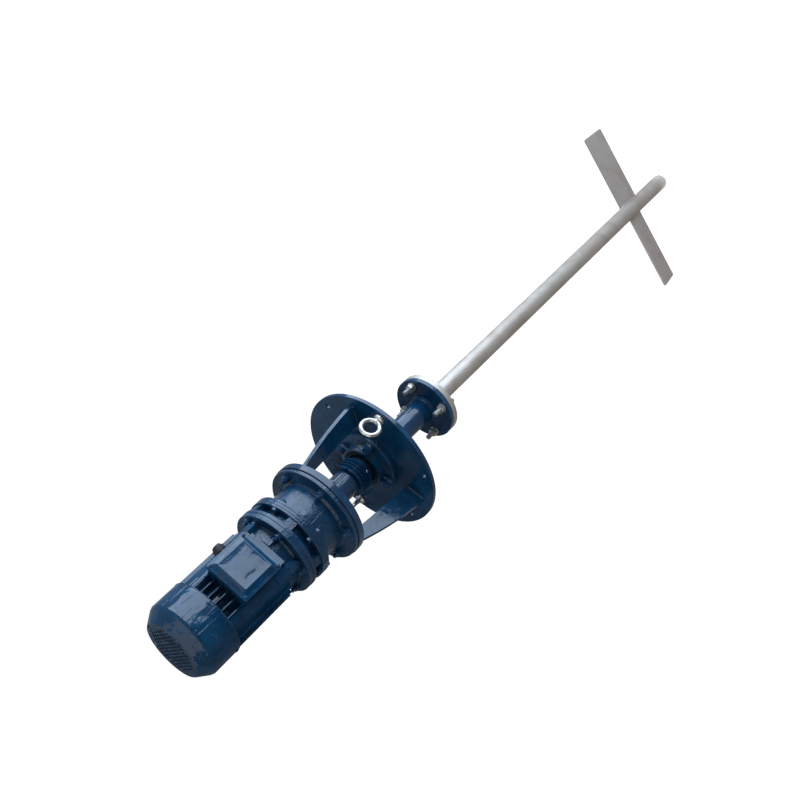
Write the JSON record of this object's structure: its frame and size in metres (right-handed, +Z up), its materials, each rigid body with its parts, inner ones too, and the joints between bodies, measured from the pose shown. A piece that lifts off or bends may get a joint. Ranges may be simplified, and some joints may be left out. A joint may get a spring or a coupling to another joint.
{
  "type": "tank agitator",
  "caption": "Top-entry tank agitator: flange motor, cycloidal reducer, open stand on a round plate, flange bearing, bolted shaft flanges, long shaft and two pitched paddles.",
  "frame": {"origin": "centre of the mounting plate's underside, on the drive axis, in the middle of the tank bolt pattern", "axes": "+Z up the drive axis towards the motor; the tank bolts lie on a rectangle along X and Y"},
  "size_m": [0.4018, 0.3535, 2.0601],
  "materials": {
    "blue_enamel": "gloss navy enamel",
    "stainless": "satin stainless",
    "bright_steel": "bright plated",
    "bearing_steel": "ground steel",
    "lamination": "laminated electrical steel",
    "copper": "varnished copper wire",
    "rubber": "moulded rubber",
    "black_plastic": "moulded plastic"
  },
  "bodies": {
    "stand": {"mounting_plate": "blue_enamel", "gusset_1": "blue_enamel", "gusset_2": "blue_enamel", "gusset_3": "blue_enamel", "stand_ring": "blue_enamel", "eyebolt_front": "bright_steel", "eyebolt_rear": "bright_steel", "bearing_housing": "blue_enamel", "insert_outer_ring": "bearing_steel", "bearing_bolts": "blue_enamel", "gearbox_housing": "blue_enamel", "seal_cover": "blue_enamel", "oil_seal": "rubber", "oil_plug": "blue_enamel", "ring_gear": "blue_enamel", "ring_pins": "bearing_steel", "input_bearing": "bearing_steel", "motor_adaptor": "blue_enamel", "output_bearings": "bearing_steel", "output_flange_bolts": "blue_enamel", "rim_bolts": "blue_enamel", "drive_end_shield": "blue_enamel", "motor_bolts": "blue_enamel", "motor_frame": "blue_enamel", "tie_bolts": "blue_enamel", "stator_core": "lamination", "windings": "copper", "motor_bearings": "bearing_steel", "fan_end_shield": "blue_enamel", "fan_cover": "blue_enamel", "cover_screws": "blue_enamel", "terminal_box": "blue_enamel", "box_gasket": "rubber", "box_lid": "blue_enamel", "lid_screws": "blue_enamel", "terminal_block": "black_plastic", "cable_gland": "black_plastic"},
    "output_shaft": {"output_shaft": "bearing_steel", "output_pins": "bearing_steel", "coupling_sleeve": "blue_enamel", "shaft_keys": "bearing_steel", "grub_screws": "bright_steel", "locking_collar": "blue_enamel", "insert_inner_ring": "bearing_steel", "drop_shaft": "blue_enamel", "drive_flange": "blue_enamel", "wet_flange": "stainless", "wet_shaft": "stainless", "paddles": "stainless", "shaft_flange_bolts": "bright_steel", "shaft_flange_nuts": "bright_steel"},
    "rotor": {"rotor_shaft": "bearing_steel", "rotor_core": "lamination", "fan": "black_plastic", "input_sleeve": "bearing_steel", "eccentric_bearings": "bearing_steel"},
    "disc_lower": {"cycloid_disc_lower": "bearing_steel"},
    "disc_upper": {"cycloid_disc_upper": "bearing_steel"}
  },
  "joints": [
    {"name": "output_turn", "type": "hinge", "parent": "stand", "child": "output_shaft", "pos_m": [0, 0, 0], "axis": [0, 0, 1], "continuous": true},
    {"name": "rotor_turn", "type": "hinge", "parent": "stand", "child": "rotor", "pos_m": [0, 0, 0.3], "axis": [0, 0, 1], "continuous": true},
    {"name": "disc_lower_turn", "type": "hinge", "parent": "rotor", "child": "disc_lower", "pos_m": [0.00248, -0.0003, 0.28], "axis": [0, 0, 1], "continuous": true},
    {"name": "disc_upper_turn", "type": "hinge", "parent": "rotor", "child": "disc_upper", "pos_m": [-0.00248, 0.0003, 0.28], "axis": [0, 0, 1], "continuous": true}
  ],
  "couplings": [
    {"joint": "rotor_turn", "follows": "output_turn", "ratio": -11},
    {"joint": "disc_lower_turn", "follows": "output_turn", "ratio": 12},
    {"joint": "disc_upper_turn", "follows": "output_turn", "ratio": 12}
  ]
}
